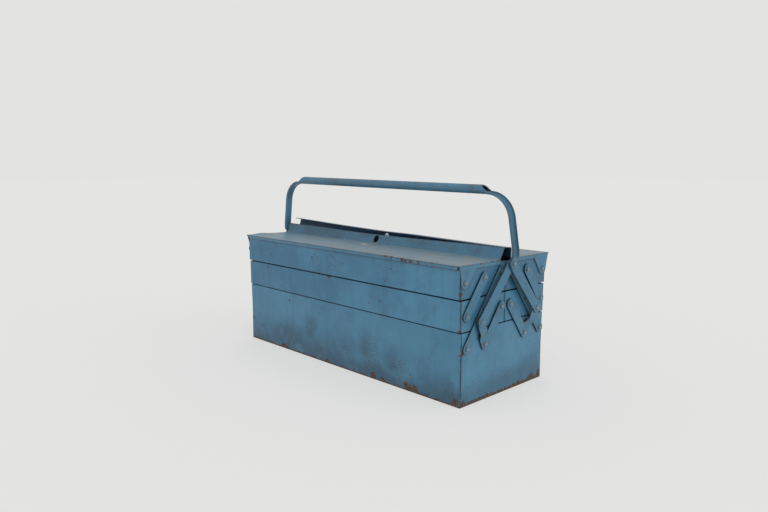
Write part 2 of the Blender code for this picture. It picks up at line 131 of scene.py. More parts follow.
def add_soft_sun(name, towards, strength, width):
    """Even light from a direction, as soft as a lamp that is width degrees across."""
    data = bpy.data.lights.new(name, "SUN")
    data.energy = strength
    data.angle = math.radians(width)
    light = add_object(name, data)
    light.rotation_euler = (-Vector(towards)).to_track_quat("-Z", "Y").to_euler()


def add_stage():
    """A pale floor that runs out to a pale surround, and soft light from above."""
    world = bpy.data.worlds.new("studio")
    world.use_nodes = True
    surround = world.node_tree.nodes["Background"]
    surround.inputs["Color"].default_value = (*SURROUND, 1.0)
    surround.inputs["Strength"].default_value = 1.0
    bpy.context.scene.world = world
    bpy.context.scene.view_settings.view_transform = "Standard"

    shape = bmesh.new()
    bmesh.ops.create_grid(shape, x_segments=4, y_segments=4, size=12.0)
    floor = add_object("floor", mesh_of("floor", shape))
    pale = bpy.data.materials.new("pale_floor")
    pale.use_nodes = True
    shader = pale.node_tree.nodes["Principled BSDF"]
    shader.inputs["Base Color"].default_value = (FLOOR_PAPER, FLOOR_PAPER, FLOOR_PAPER, 1.0)
    shader.inputs["Roughness"].default_value = 0.9
    shader.inputs["Specular IOR Level"].default_value = 0.0
    shader.inputs["Emission Color"].default_value = (*SURROUND, 1.0)
    shader.inputs["Emission Strength"].default_value = FLOOR_GLOW
    floor.data.materials.append(pale)

    add_soft_sun("key_light", (0.55, -0.42, 0.72), 0.42, 60.0)
    add_soft_sun("side_light", (0.90, 0.35, 0.30), 0.30, 40.0)


# ------------------------ materials

class Net:
    """Short forms for building one material's node tree."""

    def __init__(self, name):
        self.material = bpy.data.materials.new(name)
        self.material.use_nodes = True
        self.tree = self.material.node_tree
        self.shader = self.tree.nodes["Principled BSDF"]
        self.place = self.node("ShaderNodeTexCoord").outputs["Object"]

    def node(self, kind, **settings):
        made = self.tree.nodes.new(kind)
        for key, value in settings.items():
            setattr(made, key, value)
        return made

    def put(self, socket, value):
        """Link an output to a socket, or set the socket's value."""
        if isinstance(value, bpy.types.NodeSocket):
            self.tree.links.new(value, socket)
        else:
            socket.default_value = value

    def math(self, operation, first, second=0.0, clamp=False):
        made = self.node("ShaderNodeMath", operation=operation, use_clamp=clamp)
        self.put(made.inputs[0], first)
        self.put(made.inputs[1], second)
        return made.outputs[0]

    def times(self, first, second):
        return self.math("MULTIPLY", first, second)

    def plus(self, first, second):
        return self.math("ADD", first, second)

    def centred(self, value):
        """A noise moved to lie evenly around 0."""
        return self.math("SUBTRACT", value, 0.5)

    def size_of(self, value):
        return self.math("ABSOLUTE", value)

    def scaled(self, scale):
        """Object coordinates stretched by a factor on each axis."""
        made = self.node("ShaderNodeMapping")
        self.put(made.inputs["Vector"], self.place)
        made.inputs["Scale"].default_value = scale
        return made.outputs[0]

    def noise(self, scale, detail=3.0, roughness=0.55, place=None):
        made = self.node("ShaderNodeTexNoise")
        self.put(made.inputs["Vector"], place or self.place)
        made.inputs["Scale"].default_value = scale
        made.inputs["Detail"].default_value = detail
        made.inputs["Roughness"].default_value = roughness
        return made.outputs["Fac"]

    def step(self, value, low, high):
        """Smooth rise from 0 at low to 1 at high, or a fall if low is above high."""
        made = self.node("ShaderNodeMapRange", interpolation_type="SMOOTHSTEP")
        falling = low > high
        self.put(made.inputs["Value"], value)
        limits = (min(low, high), max(low, high), 1.0 if falling else 0.0, 0.0 if falling else 1.0)
        for socket, limit in zip(("From Min", "From Max", "To Min", "To Max"), limits):
            made.inputs[socket].default_value = limit
        return made.outputs[0]

    def blend(self, amount, first, second):
        """Mix of two colours."""
        made = self.node("ShaderNodeMix", data_type="RGBA")
        self.put(made.inputs[0], amount)
        for socket, colour in ((made.inputs[6], first), (made.inputs[7], second)):
            self.put(socket, (*colour, 1.0) if isinstance(colour, tuple) else colour)
        return made.outputs[2]

    def axes(self):
        made = self.node("ShaderNodeSeparateXYZ")
        self.put(made.inputs[0], self.place)
        return made.outputs

    def facing(self):
        """The way the piece's own surface faces, as X, Y and Z outputs."""
        made = self.node("ShaderNodeSeparateXYZ")
        self.put(made.inputs[0], self.node("ShaderNodeTexCoord").outputs["Normal"])
        return made.outputs

    def edges(self, radius):
        """1 on sharp edges and 0 on flat stretches, from how far a rounded normal turns."""
        rounded = self.node("ShaderNodeBevel", samples=4)
        rounded.inputs["Radius"].default_value = radius
        plain = self.node("ShaderNodeNewGeometry")
        dot = self.node("ShaderNodeVectorMath", operation="DOT_PRODUCT")
        self.put(dot.inputs[0], rounded.outputs[0])
        self.put(dot.inputs[1], plain.outputs["Normal"])
        return self.step(dot.outputs["Value"], 0.985, 0.80)

    def shade_in_hollows(self, distance):
        """1 deep in a gap or corner and 0 on open surfaces: the mask for painted shade there."""
        made = self.node("ShaderNodeAmbientOcclusion", samples=6)
        made.inputs["Distance"].default_value = distance
        return self.step(made.outputs["AO"], 0.62, 0.20)

    def spot(self, centre, radius, ragged, core=0.72):
        """1 inside a ragged ball around a point in the frame, fading outside its core."""
        made = self.node("ShaderNodeVectorMath", operation="DISTANCE")
        self.put(made.inputs[0], self.place)
        made.inputs[1].default_value = centre
        reach = self.math("ADD", made.outputs["Value"], ragged)
        return self.step(reach, radius, core * radius)

    def most(self, masks):
        total = masks[0]
        for mask in masks[1:]:
            total = self.math("MAXIMUM", total, mask)
        return total

    def finish(self, colour, roughness, height, depth):
        """Connect the surface: colour, roughness, and bump of a depth in metres."""
        bump = self.node("ShaderNodeBump")
        bump.inputs["Distance"].default_value = depth
        self.put(bump.inputs["Height"], height)
        self.put(self.shader.inputs["Base Color"], colour)
        self.put(self.shader.inputs["Roughness"], roughness)
        self.put(self.shader.inputs["Normal"], bump.outputs[0])
        return self.material


RUST_DARK = (0.040, 0.025, 0.022)
RUST_BROWN = (0.078, 0.049, 0.037)
RUST_PALE = (0.190, 0.140, 0.092)
# Near-black deep in gaps: grime, and painted shade where gaps and corners are hidden from light
GRIME_AND_SHADE = (0.012, 0.016, 0.020)
# Pale grey on faces that look up: a settled film, and painted sheen
DUST_AND_SHEEN = (0.270, 0.262, 0.235)
SHADOW_BLACK = (0.020, 0.024, 0.028)
BARE_EDGE = (0.190, 0.235, 0.255)
PATINA = (0.085, 0.088, 0.068)
EDGE_RUST = (0.085, 0.058, 0.045)
FOLD_RUST_AND_SHADE = (0.030, 0.022, 0.020)
CREAM = (0.500, 0.510, 0.430)
HEAD_STEEL = ((0.20, 0.25, 0.28), (0.40, 0.45, 0.48))
HEAD_BLUE = (0.075, 0.155, 0.215)
SCUFF_DEPTH = 0.60

# The dark line down a corner, rust and on the top tray also painted shade: its X, and how far inside
# the wall's corner it lies along Y
CORNER_LINE = (264.4 * MM, 0.8 * MM)
# Heights between which the rusty line along the foot fades in, from none to full
RUST_FOOT = (4.6 * MM, 2.0 * MM)


def shade_of(tone, factor):
    return tuple(factor * part for part in tone)


def weathered_colour(net, tone, faded, streaks, painted_light_along_x):
    """Blue paint with cloudy fading, soft smears down the walls and faint pale scratches.

    painted_light_along_x is how far the paint turns paler for each metre towards +X: painted light,
    and painted shade towards -X.
    """
    broad = net.noise(9.0, 2.0, 0.5)
    patchy = net.noise(34.0, 4.0, 0.6)
    smear = net.noise(1.0, 3.0, 0.6, place=net.scaled((95.0, 60.0, 9.0)))
    # Painted light and shade along X: the paint turns paler towards +X and darker towards -X
    light = net.plus(broad, net.times(net.axes()[0], painted_light_along_x))
    colour = net.blend(net.step(light, 0.30, 0.70), tone, faded)
    soft = net.times(net.step(patchy, 0.46, 0.74), 0.42)
    colour = net.blend(soft, colour, shade_of(tone, 0.70))
    soft = net.times(net.step(patchy, 0.44, 0.22), 0.35)
    colour = net.blend(soft, colour, shade_of(faded, 1.22))
    soft = net.times(net.step(smear, 0.50, 0.74), 0.40 * streaks)
    colour = net.blend(soft, colour, shade_of(tone, 0.60))
    soft = net.times(net.step(smear, 0.44, 0.24), 0.30 * streaks)
    colour = net.blend(soft, colour, shade_of(faded, 1.30))
    scratch = net.noise(1.0, 2.0, 0.5, place=net.scaled((900.0, 900.0, 55.0)))
    scratch = net.times(net.step(scratch, 0.68, 0.75), net.step(broad, 0.46, 0.62))
    colour = net.blend(net.times(scratch, 0.40), colour, shade_of(faded, 1.8))
    return colour, broad, patchy


def chips(net, size, share, largest):
    """Small round chips: one Voronoi cell in so many holds a dot of up to a size."""
    cells = net.node("ShaderNodeTexVoronoi", feature="F1")
    net.put(cells.inputs["Vector"], net.place)
    cells.inputs["Scale"].default_value = 1.0 / size
    rare = net.node("ShaderNodeSeparateColor")
    net.put(rare.inputs[0], cells.outputs["Color"])
    radius = net.times(net.step(rare.outputs[0], 1.0 - share, 1.0), largest / size)
    return net.math("LESS_THAN", cells.outputs["Distance"], radius)


def paint(name, tone, faded, marks=(), scuffs=(), shadows=(), corner=None, edge_wear=0.5,
          grime_top=None, rust_foot=False, roughness=0.42, dust_and_sheen=0.0, streaks=0.5,
          pale_edges=0.0, worn_line=0.0, dark_sides=False, painted_light_along_x=0.0, cream=(),
          edge_reach=1.3 * MM, gap=GRIME_AND_SHADE, painted_end_shade=0.0, patina=0.16,
          corner_width=1.15 * MM, line_foot=0.0):
    """Old blue paint on steel.

    marks are rust spots, scuffs patches of small chips, shadows darker patches and cream drops of
    old cream paint, each given as (x, y, z, radius) in metres; the darker patches are grime on the
    base and painted shade in the lids' recesses. corner is the distance from the middle to a wall
    whose vertical corners have a dark line, corner_width wide: rust, and on the top tray also
    painted shade of the gap beside the lid's flange. grime_top is the height up to which the paint
    is dark with grime, and rust_foot adds a rusty line at the foot. dust_and_sheen is the pale grey
    on faces that look up, a settled film with painted sheen, patina the brown film in patches, and
    gap the colour deep in gaps, painted shade with grime. worn_line draws a brown line along edges
    above line_foot, pale_edges rubs them bare, and edge_reach is how wide both are. dark_sides
    blackens a bar's narrow faces, raw edges with painted shade beside the bar. painted_end_shade
    darkens the faces that look along X, as painted shade. painted_light_along_x is how far the
    paint turns paler for each metre towards +X: painted light, and painted shade towards -X.
    """
    net = Net(name)
    x, y, z = net.axes()
    colour, broad, patchy = weathered_colour(net, tone, faded, streaks, painted_light_along_x)
    fine = net.noise(420.0, 3.0, 0.65)
    ragged = net.times(net.centred(net.noise(210.0, 4.0, 0.7)), 0.010)
    cloudy = net.times(net.centred(net.noise(26.0, 3.0, 0.6)), 0.060)

    # Darker patches: grime on the base, painted shade in the lids' recesses
    dirt_and_shade = [net.times(net.spot(Vector(spot[:3]), 1.5 * spot[3], cloudy, -0.4), 0.80)
            for spot in shadows]
    if grime_top is not None:
        reach = net.plus(z, net.times(net.centred(broad), 0.11))
        ahead = net.math("SUBTRACT", 0.88, net.times(net.facing()[0], 0.34))
        low = net.times(net.step(reach, grime_top, 0.10 * grime_top), ahead)
        dirt_and_shade.append(net.times(low, net.step(patchy, 0.16, 0.52)))
    grain = net.step(net.noise(230.0, 5.0, 0.75), 0.46, 0.64)
    stain = net.times(net.step(patchy, 0.36, 0.62), patina)
    if dirt_and_shade:
        dirt_and_shade = net.most(dirt_and_shade)
        colour = net.blend(dirt_and_shade, colour, (0.34 * tone[0], 0.40 * tone[1], 0.44 * tone[2]))
        stain = net.math("MAXIMUM", stain, net.times(dirt_and_shade, 0.42))
    colour = net.blend(net.times(grain, stain), colour, PATINA)

    edge = net.edges(edge_reach)
    if worn_line > 0.0:
        line = net.times(edge, net.step(net.noise(48.0, 4.0, 0.7), 0.40, 0.52))
        line = net.times(line, net.step(z, line_foot, line_foot + 3.0 * MM))
        colour = net.blend(net.times(line, worn_line), colour, EDGE_RUST)
    if pale_edges > 0.0:
        colour = net.blend(net.times(edge, pale_edges), colour, BARE_EDGE)
    # Painted shade: faces that look along X are darkened
    if painted_end_shade > 0.0:
        sides = net.times(net.size_of(net.facing()[0]), painted_end_shade)
        colour = net.blend(sides, colour, shade_of(tone, 0.70))
    # Near black on a bar's narrow faces: raw edges, and painted shade beside the bar
    if dark_sides:
        sides = net.size_of(net.facing()[0])
        colour = net.blend(net.step(sides, 0.55, 0.30), colour, SHADOW_BLACK)

    worn = net.plus(net.noise(150.0, 4.0, 0.7), net.times(edge, 0.42))
    rust = [net.times(net.step(worn, 0.98 - 0.5 * edge_wear, 1.04 - 0.5 * edge_wear),
                      net.step(edge, 0.05, 0.30)),
            net.times(chips(net, 11.0 * MM, 0.16, 1.1 * MM), net.step(patchy, 0.44, 0.56))]
    if scuffs:
        pits = net.math("MAXIMUM", chips(net, 4.0 * MM, 0.80, 1.5 * MM),
                        chips(net, 2.4 * MM, 0.70, 1.0 * MM))
        soft = net.times(ragged, 1.6)
        area = net.most([net.spot(Vector(spot[:3]), spot[3], soft) for spot in scuffs])
        rust.append(net.times(pits, net.times(area, SCUFF_DEPTH)))
    if marks:
        area = net.most([net.spot(Vector(mark[:3]), 1.35 * mark[3], ragged, 0.25) for mark in marks])
        area = net.plus(area, net.centred(net.noise(520.0, 4.0, 0.7)))
        rust.append(net.step(area, 0.46, 0.62))
    if rust_foot:
        foot = net.plus(z, net.times(ragged, 1.3))
        foot = net.plus(foot, net.times(net.facing()[0], -2.2 * MM))
        rust.append(net.step(foot, *RUST_FOOT))
    # Dark line down each corner: rust, widened on the top tray as painted shade of the gap beside
    # the lid's flange
    if corner is not None:
        beside = net.math("SUBTRACT", net.size_of(x), CORNER_LINE[0])
        across = net.math("SUBTRACT", net.size_of(y), corner - CORNER_LINE[1])
        off_line = net.math("MAXIMUM", net.size_of(beside), net.size_of(across))
        off_line = net.plus(off_line, net.times(ragged, 0.22))
        fold = net.times(net.step(off_line, corner_width, 0.5 * corner_width), 0.85)
        colour = net.blend(fold, colour, FOLD_RUST_AND_SHADE)
    rust = net.most(rust)

    # Painted shade with grime deep in gaps and corners
    hollow_shade = net.shade_in_hollows(6.0 * MM)
    colour = net.blend(net.times(hollow_shade, 0.88), colour, gap)
    brown = net.blend(net.step(fine, 0.36, 0.62), RUST_DARK, RUST_BROWN)
    tan = net.times(net.step(net.noise(430.0, 3.0, 0.6), 0.54, 0.64), 0.75)
    brown = net.blend(tan, brown, RUST_PALE)
    # Pale grey on faces that look up, more towards +X: a settled film and painted sheen
    if dust_and_sheen > 0.0:
        lying = net.times(net.step(net.facing()[2], 0.80, 0.97), dust_and_sheen)
        lying = net.times(lying, net.step(patchy, 0.16, 0.62))
        lying = net.times(lying, net.plus(0.80, net.times(x, 0.9)))
        wiped = net.noise(1.0, 4.0, 0.65, place=net.scaled((13.0, 210.0, 60.0)))
        lying = net.times(lying, net.plus(0.72, net.times(wiped, 0.56)))
        colour = net.blend(lying, colour, DUST_AND_SHEEN)
        worn_through = net.times(net.step(wiped, 0.44, 0.32), net.step(patchy, 0.42, 0.56))
        colour = net.blend(net.times(worn_through, 0.45), colour, PATINA)
    for drop in cream:
        colour = net.blend(net.spot(Vector(drop[:3]), drop[3], ragged), colour, CREAM)
    colour = net.blend(rust, colour, brown)

    gloss = net.plus(roughness, net.times(net.centred(patchy), 0.32))
    gloss = net.math("ADD", gloss, net.times(rust, 0.40), clamp=True)
    height = net.times(fine, 0.25)
    height = net.plus(height, net.times(rust, net.noise(700.0, 3.0, 0.7)))
    return net.finish(colour, gloss, height, 0.10 * MM)


def rivet_paint(name):
    """Painted rivet steel: blue over most of the head, rubbed grey on the crown, rust below."""
    net = Net(name)
    patchy = net.noise(330.0, 4.0, 0.65)
    fine = net.noise(1500.0, 2.0, 0.6)
    crown = net.times(net.step(net.size_of(net.facing()[0]), 0.90, 0.99),
                     net.step(patchy, 0.40, 0.56))
    steel = net.blend(net.step(fine, 0.35, 0.65), *HEAD_STEEL)
    colour = net.blend(crown, HEAD_BLUE, steel)
    rim = net.step(net.size_of(net.facing()[0]), 0.62, 0.30)
    colour = net.blend(net.times(rim, 0.75), colour, RUST_DARK)
    colour = net.blend(net.times(net.step(patchy, 0.37, 0.30), 0.85), colour,
                       RUST_BROWN)
    # Painted shade with grime round the head's foot
    hollow_shade = net.shade_in_hollows(2.5 * MM)
    colour = net.blend(net.times(hollow_shade, 0.90), colour, GRIME_AND_SHADE)
    net.put(net.shader.inputs["Metallic"], net.times(crown, 0.5))
    gloss = net.plus(0.32, net.times(net.math("SUBTRACT", 1.0, crown), 0.16))
    return net.finish(colour, gloss, fine, 0.04 * MM)


# ------------------------ making pieces

def make_piece(name, shape, materials, body, nodes, smooth_angle=40.0):
    """Turn a shape in frame metres into a piece that rides on a body in place of CAD nodes."""
    bmesh.ops.recalc_face_normals(shape, faces=shape.faces)
    mesh = mesh_of(name, shape)
    for material in materials:
        mesh.materials.append(material)
    mesh.shade_smooth()
    mesh.set_sharp_from_angle(angle=math.radians(smooth_angle))
    piece = add_object(name, mesh)
    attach(piece, body)
    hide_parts(*nodes)
    return piece


def soften(piece, width, angle=40.0, segments=2):
    """Round a piece's edges that turn by more than an angle in degrees."""
    modifier = piece.modifiers.new("Softened_edges", "BEVEL")
    modifier.width = width
    modifier.segments = segments
    modifier.limit_method = "ANGLE"
    modifier.angle_limit = math.radians(angle)
    modifier.harden_normals = False


def loft(rings, material_of=None):
    """Closed surface through rings of equally many points, with a material for each band."""
    shape = bmesh.new()
    rows = [[shape.verts.new(point) for point in ring] for ring in rings]
    shape.faces.new(reversed(rows[0]))
    cap = shape.faces.new(rows[-1])
    if material_of is not None:
        cap.material_index = material_of(len(rows) - 1)
    count = len(rows[0])
    for band, (lower, upper) in enumerate(zip(rows, rows[1:])):
        for i in range(count):
            j = (i + 1) % count
            face = shape.faces.new((lower[i], lower[j], upper[j], upper[i]))
            if material_of is not None:
                face.material_index = material_of(band)
    return shape


def smooth(share):
    """Ease from 0 to 1."""
    return share * share * (3.0 - 2.0 * share)


def joined(shapes):
    whole = bmesh.new()
    for shape in shapes:
        mesh = mesh_of("part_of_shape", shape)
        whole.from_mesh(mesh)
        bpy.data.meshes.remove(mesh)
    return whole


# ------------------------ sheet pans

CORNER_RADIUS = 1.6 * MM
CORNER_STEPS = 5
WALL_STEP = 15.0 * MM
SHEET = 1.0 * MM
HEM = 2.2 * MM
HEM_HEIGHT = 7.5 * MM
FOOT_RADIUS = 1.2 * MM
DENT_DEPTH = 0.28 * MM
SEAM_OFFSET = 0.4 * MM
SEAM_WIDTH = 0.5 * MM
SEAM_DEPTH = 0.4 * MM
WALL_END = 9.0 * MM
BOX_HALF_LENGTH = 265.0 * MM
BOX_HALF_WIDTH = 101.3 * MM
BASE_FLARE = 0.7 * MM
TOP_TRAY_LEAN = 2.0 * MM


def pan_outline(low, high):
    """Outline of a pan's wall: points, outward normals, seam depth and how free it is to bow."""
    outline = []
    corners = ((high.x, high.y, 0), (low.x, high.y, 1), (low.x, low.y, 2), (high.x, low.y, 3))
    for index, (x, y, quarter) in enumerate(corners):
        cx = x - math.copysign(CORNER_RADIUS, x - (low.x + high.x) / 2)
        cy = y - math.copysign(CORNER_RADIUS, y - (low.y + high.y) / 2)
        for step in range(CORNER_STEPS + 1):
            angle = (quarter + step / CORNER_STEPS) * math.pi / 2
            normal = Vector((math.cos(angle), math.sin(angle)))
            outline.append((Vector((cx, cy)) + CORNER_RADIUS * normal, normal, 0.0, 0.0))
        outline += wall_points(outline[-1], corners[(index + 1) % 4])
    return outline


def wall_points(start, corner):
    """Points along the straight wall from one corner's end to the next corner's start."""
    normal = start[1]
    along = Vector((-normal[1], normal[0]))
    target = Vector((corner[0], corner[1])) - start[0]
    length = abs(target.dot(along)) - CORNER_RADIUS
    seams = [SEAM_OFFSET, SEAM_OFFSET + SEAM_WIDTH, SEAM_OFFSET + 2 * SEAM_WIDTH]
    distances = [(distance, SEAM_DEPTH if index == 1 else 0.0)
                 for index, distance in enumerate(seams)]
    has_seam = abs(normal[0]) > 0.5
    points = []
    if has_seam:
        points += distances
    free = length - 2 * WALL_END
    count = max(2, round(free / WALL_STEP))
    points += [(WALL_END + free * i / count, 0.0) for i in range(count + 1)]
    if has_seam:
        points += [(length - distance, depth) for distance, depth in reversed(distances)]
    return [(start[0] + along * distance, normal, depth,
             math.sin(math.pi * distance / length) ** 0.35) for distance, depth in points]


def wall_lean(name, x, y, share):
    """How far a long wall stands out of the upright at a share of its height."""
    if name == "base_box":
        return math.copysign(BASE_FLARE * (2.0 * share - 1.0), y)
    if name == "front_top_tray" and y < -0.5 * BOX_HALF_WIDTH:
        return -TOP_TRAY_LEAN * share * max(x, 0.0) / BOX_HALF_LENGTH
    return 0.0


def make_pan(name, body, paint_outside, paint_inside, seed):
    """Open sheet pan with a rolled hem, folded corners, a seam at each end panel and soft dents."""
    low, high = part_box(name)
    outline = pan_outline(low, high)
    height = high.z - low.z
    levels = []
    for step in range(4):
        angle = math.pi / 2 * (1.0 - step / 3)
        inset = FOOT_RADIUS * (1.0 - math.cos(angle))
        levels.append((inset, FOOT_RADIUS * (1.0 - math.sin(angle)), 1.0, 0.0))
    rows = max(4, round(height / WALL_STEP))
    for row in range(1, rows + 1):
        share = row / rows
        z = FOOT_RADIUS + (height - HEM_HEIGHT - FOOT_RADIUS) * share
        levels.append((0.0, z, 1.0, math.sin(math.pi * share) ** 0.6))
    for step in range(5):
        angle = math.pi * step / 4
        levels.append((HEM / 2 * (1.0 - math.cos(angle)),
                       height - HEM / 2 * (1.0 - math.sin(angle)), 1.0 if step < 2 else 0.0, 0.0))
    outside = len(levels) - 3
    levels.append((HEM, height - HEM_HEIGHT, 0.0, 0.0))
    levels.append((SHEET, height - HEM_HEIGHT, 0.0, 0.0))
    for row in range(rows, 0, -1):
        share = row / rows
        z = SHEET + (height - HEM_HEIGHT - SHEET) * share * 0.98
        levels.append((SHEET, z, 0.0, math.sin(math.pi * share) ** 0.6))
    levels.append((2.0 * SHEET, SHEET, 0.0, 0.0))
    rings = []
    for inset, z, skin, bow in levels:
        ring = []
        for point, normal, seam, free in outline:
            dent = noise.noise(Vector((point[0] * 7.0, point[1] * 7.0 + seed, z * 12.0)))
            push = DENT_DEPTH * dent * bow * free - seam * skin - inset - DENT_DEPTH * bow * 0.5
            spot = point + normal * push
            lean = wall_lean(name, spot[0], spot[1], z / height)
            ring.append((spot[0], spot[1] + lean, low.z + z))
        rings.append(ring)
    shape = loft(rings, material_of=lambda band: 0 if band < outside else 1)
    return make_piece(name + "_sheet", shape, (paint_outside, paint_inside), body, (name,))


# ------------------------ lids

LID_STATION = 22.0 * MM
LID_COLUMNS = 12
FOLD_RADIUS = 1.1 * MM
EAR_RADIUS = 9.0 * MM
EAR_INNER_EDGE = 72.0 * MM
EAR_CURVE = ((104.6 * MM, 185.0 * MM), (106.6 * MM, 193.5 * MM), (107.9 * MM, 198.5 * MM))
FLANGE_INSET = 1.2 * MM
FLANGE_HEIGHT = 6.5 * MM
LIP_INSET = 2.8 * MM
LIP_FOOT = 197.3 * MM
LIP_NOTCH = 5.5 * MM
LID_ABOVE_RIM = 3.0 * MM
RIDGE_BASE = 14.6 * MM
RIDGE_INSET = 2.7 * MM
PADLOCK_RADIUS = 5.8 * MM
LID_BOW = 0.5 * MM

# A bump in the front lid near its left end, as X, distance from the middle, and height
LID_HUMP = (-266.0 * MM, 78.0 * MM, 1.9 * MM)
LID_HUMP_SPREAD = (14.0 * MM, 15.0 * MM)

# The ridges' profiles as (Y, height above the lid); the back one hooks over the front one
RIDGE_SHAPES = {
    FRONT: ((-12.6 * MM, 2.0 * MM), (-9.2 * MM, 9.0 * MM), (-5.6 * MM, 16.5 * MM)),
    BACK: ((13.4 * MM, 2.5 * MM), (12.9 * MM, 11.5 * MM), (12.5 * MM, 19.6 * MM),
           (4.6 * MM, 20.6 * MM), (-3.0 * MM, 21.2 * MM)),
}
PADLOCK_PLACE = 10.0 * MM
PADLOCK_REACH = 16.0 * MM
PADLOCK_HEIGHTS = {FRONT: 7.5 * MM, BACK: 10.5 * MM}
PADLOCK_SHIFTS = {FRONT: -5.0 * MM, BACK: 0.0}


def ridge_rack(side, x, half):
    """How far the raised ridge stands out of true at a place along the lid, as (Y, Z)."""
    share = x / half
    if side == FRONT:
        lift = -1.6 * MM * math.cos(3.0 * share) - 1.0 * MM * max(share, 0.0) ** 2
        wave = 0.5 * MM * noise.noise(Vector((x * 11.0, 3.0, 0.0)))
        return (2.2 * MM * max(share, 0.0) ** 2 - 1.2 * MM * max(-share, 0.0), lift + wave)
    lift = 6.6 * MM * max(-share, 0.0) ** 1.2 + 0.4 * MM * (1.0 - abs(share))
    lift -= 5.4 * MM * max(share - 0.25, 0.0)
    shift = 10.5 * MM * max(-share, 0.0) ** 1.2 + 1.5 * MM * max(share, 0.0) ** 2
    return (shift, lift + 0.3 * MM * noise.noise(Vector((x * 9.0, 8.0, 0.0))))


def lid_rack(side, x, half):
    """How far the lid's outer edge is out of true at a place along the lid, as (Y, Z)."""
    if side == FRONT:
        return (-1.3 * MM + 1.1 * MM * x / half, 1.1 * MM - 0.2 * MM * x / half)
    return (1.0 * MM, -0.4 * MM)


def lid_surface(side, low, high, hinge, top):
    """Outer skin of a lid, as folded from one sheet: top, slanted lip, end flanges and ridge."""
    outer = high.y if side == BACK else -low.y
    half = high.x - RIDGE_INSET
    count = round(2 * half / LID_STATION)
    stations = [low.x] + [-half + 2 * half * i / count for i in range(count + 1)] + [high.x]
    shape = bmesh.new()
    columns = [outer, outer - FLANGE_INSET]
    columns += [columns[1] + (RIDGE_BASE - columns[1]) * i / LID_COLUMNS
                for i in range(1, LID_COLUMNS + 1)]

    def spot(x, y, z):
        return shape.verts.new((x, side * y, z))

    rows = []
    for x in stations:
        row = []
        for y in columns:
            across = (y - outer) / (RIDGE_BASE - outer)
            free = math.sin(math.pi * across) * math.cos(math.pi / 2 * x / high.x)
            wave = 1.0 + noise.noise(Vector((x * 8.0, side * y * 14.0, 5.0)))
            shift, lift = lid_rack(side, x, half)
            lift *= 1.0 - across
            if side == FRONT:
                near = Vector(((x - LID_HUMP[0]) / LID_HUMP_SPREAD[0],
                               (y - LID_HUMP[1]) / LID_HUMP_SPREAD[1]))
                lift += LID_HUMP[2] * math.exp(-near.length_squared)
            row.append(spot(x, y + shift * (1.0 - across), top + lift - LID_BOW * free * wave))
        rows.append(row)
    foot = high.x - LIP_NOTCH
    lip = []
    for x in stations[1:-1]:
        shift, lift = lid_rack(side, x, half)
        lip.append(spot(max(min(x, foot), -foot), outer + shift - LIP_INSET, LIP_FOOT + lift))
    for left, right in zip(rows, rows[1:]):
        for i in range(len(columns) - 1):
            shape.faces.new((left[i], right[i], right[i + 1], left[i + 1]))
    for i in range(len(lip) - 1):
        shape.faces.new((lip[i], lip[i + 1], rows[i + 2][0], rows[i + 1][0]))
    shape.faces.new((rows[0][0], rows[1][0], lip[0]))
    shape.faces.new((rows[-1][0], rows[-2][0], lip[-1]))

    ridge_rows = []
    for x, row in zip(stations[1:-1], rows[1:-1]):
        shift, lift = ridge_rack(side, x, half)
        crest = RIDGE_SHAPES[side][-1][1]
        ridge = [row[-1]]
        for y, rise in RIDGE_SHAPES[side]:
            share = min(rise / crest, 1.0)
            ridge.append(shape.verts.new((x, y + shift * share, top + rise + lift * share)))
        ridge_rows.append(ridge)
    for left, right in zip(ridge_rows, ridge_rows[1:]):
        for i in range(len(left) - 1):
            face = shape.faces.new((left[i], right[i], right[i + 1], left[i + 1]))
            face.material_index = 2
    for row, x in ((rows[0], low.x), (rows[-1], high.x)):
        level = top - FLANGE_HEIGHT
        edge = [(RIDGE_BASE, level), (EAR_INNER_EDGE, level)]
        for step in range(13):
            angle = math.radians(-40.0 - 140.0 * step / 12)
            edge.append((side * hinge.y - EAR_RADIUS * math.cos(angle),
                         hinge.z + EAR_RADIUS * math.sin(angle)))
        edge += [(y + lid_rack(side, x, half)[0], z) for y, z in EAR_CURVE]
        shape.faces.new(row[1:] + [spot(x, y, z) for y, z in edge])
    return shape


def make_lid(side_name, materials):
    """Lid: the folded skin thickened to a sheet, with rounded folds and the padlock hole."""
    side = SIDES[side_name]
    node = side_name + "_lid"
    low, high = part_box(node)
    hinge = joint_point(side_name + "_lid_open")
    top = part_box(side_name + "_top_tray")[1].z + LID_ABOVE_RIM
    shape = lid_surface(side, low, high, hinge, top)
    piece = make_piece(node + "_sheet", shape, materials, node, (node,), 30.0)
    widest = max(piece.data.polygons, key=lambda face: abs(face.normal.z) * face.area)
    if widest.normal.z < 0.0:
        piece.data.flip_normals()
    soften(piece, FOLD_RADIUS, 24.0, 4)
    sheet = piece.modifiers.new("Sheet", "SOLIDIFY")
    sheet.thickness = SHEET
    sheet.offset = -1.0
    sheet.use_even_offset = False
    # The inner skin takes the next slot, the dark shaded blue: unfaded paint and painted shade under
    # the lid
    sheet.material_offset = 1
    place = (PADLOCK_SHIFTS[side], side * PADLOCK_PLACE, top + PADLOCK_HEIGHTS[side])
    drill(piece, place, "X", PADLOCK_RADIUS, PADLOCK_REACH, 32)
    return piece


